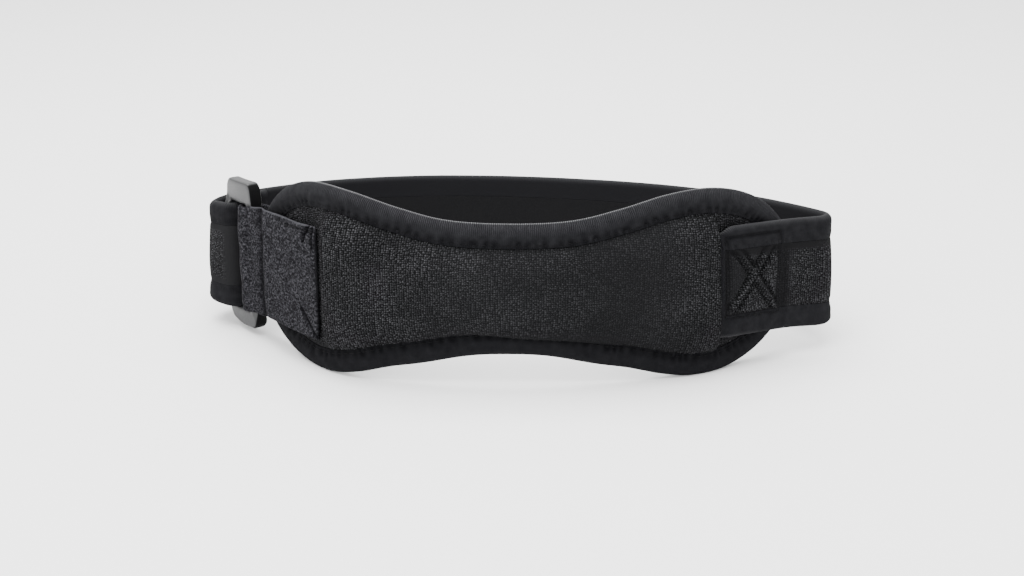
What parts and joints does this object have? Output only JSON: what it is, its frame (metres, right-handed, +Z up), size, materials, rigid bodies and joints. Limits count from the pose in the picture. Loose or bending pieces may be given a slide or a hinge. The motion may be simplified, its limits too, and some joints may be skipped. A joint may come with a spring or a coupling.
{
  "type": "patella strap",
  "caption": "Padded knee strap closed in a loop: a peanut-shaped pad in front, a bound knit band behind, and a ring with a folded fastening tab at one side.",
  "frame": {"origin": "on the surface that the strap rests on, under the middle of the loop's bounding box", "axes": "+X to the viewer's right along the loop's long side; the pad faces -Y; +Z up"},
  "size_m": [0.22, 0.1134, 0.0649],
  "materials": {
    "pad_knit": "charcoal loop knit",
    "binding_tape": "black ribbed knit tape",
    "strap_knit": "black knit, smooth inside",
    "brushed_loop": "dark grey brushed loop cloth",
    "hook_tape": "black hook tape",
    "ring_plastic": "grey moulded plastic, semi-matt"
  },
  "bodies": {
    "root": {"pad": "pad_knit", "pad_binding": "binding_tape", "strap": "strap_knit", "strap_binding": "binding_tape", "fastening_tab": "brushed_loop", "hook_patch": "hook_tape", "ring": "ring_plastic"}
  },
  "joints": []
}
